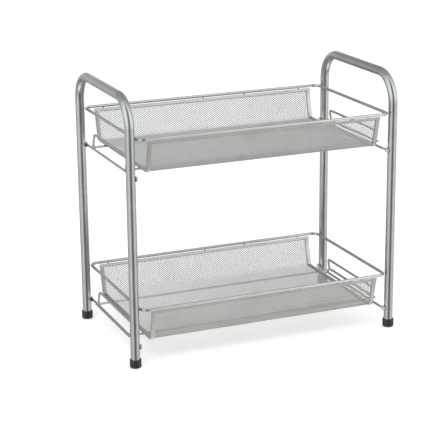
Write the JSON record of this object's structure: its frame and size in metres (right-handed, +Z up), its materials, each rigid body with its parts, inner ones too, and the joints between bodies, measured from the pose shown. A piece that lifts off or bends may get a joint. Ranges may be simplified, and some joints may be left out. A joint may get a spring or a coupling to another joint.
{
  "type": "tiered spice rack",
  "caption": "Freestanding tiered rack of expanded-metal trays with wire rims, carried by side frames of bent tube that form handles, on black plastic feet.",
  "frame": {"origin": "on the ground under the middle of the rack, which is the bottom centre of its box", "axes": "+X along the trays to the right side frame, +Y to the rear, +Z up"},
  "size_m": [0.48, 0.27, 0.445],
  "materials": {
    "silver_tube": "satin silver-grey",
    "silver_wire": "glossy silver",
    "silver_mesh": "satin silver on expanded metal",
    "silver_binding": "satin warm silver",
    "zinc_screw": "bright zinc plated",
    "black_plastic": "matt black"
  },
  "bodies": {
    "root": {"left_side_frame": "silver_tube", "right_side_frame": "silver_tube", "foot_front_left": "black_plastic", "foot_front_right": "black_plastic", "foot_rear_left": "black_plastic", "foot_rear_right": "black_plastic", "upper_rim_wire": "silver_wire", "upper_mesh_trough": "silver_mesh", "upper_floor_wire": "silver_wire", "upper_front_binding": "silver_binding", "upper_rear_binding": "silver_binding", "upper_left_binding": "silver_binding", "upper_left_end_rod": "silver_wire", "upper_left_side_wire": "silver_wire", "upper_right_binding": "silver_binding", "upper_right_end_rod": "silver_wire", "upper_right_side_wire": "silver_wire", "upper_rim_pin_front_left": "silver_wire", "upper_screw_front_left": "zinc_screw", "upper_rim_pin_front_right": "silver_wire", "upper_screw_front_right": "zinc_screw", "upper_rim_pin_rear_left": "silver_wire", "upper_screw_rear_left": "zinc_screw", "upper_rim_pin_rear_right": "silver_wire", "upper_screw_rear_right": "zinc_screw", "lower_rim_wire": "silver_wire", "lower_mesh_trough": "silver_mesh", "lower_floor_wire": "silver_wire", "lower_front_binding": "silver_binding", "lower_rear_binding": "silver_binding", "lower_left_binding": "silver_binding", "lower_left_end_rod": "silver_wire", "lower_left_side_wire": "silver_wire", "lower_right_binding": "silver_binding", "lower_right_end_rod": "silver_wire", "lower_right_side_wire": "silver_wire", "lower_rim_pin_front_left": "silver_wire", "lower_screw_front_left": "zinc_screw", "lower_rim_pin_front_right": "silver_wire", "lower_screw_front_right": "zinc_screw", "lower_rim_pin_rear_left": "silver_wire", "lower_screw_rear_left": "zinc_screw", "lower_rim_pin_rear_right": "silver_wire", "lower_screw_rear_right": "zinc_screw"}
  },
  "joints": []
}
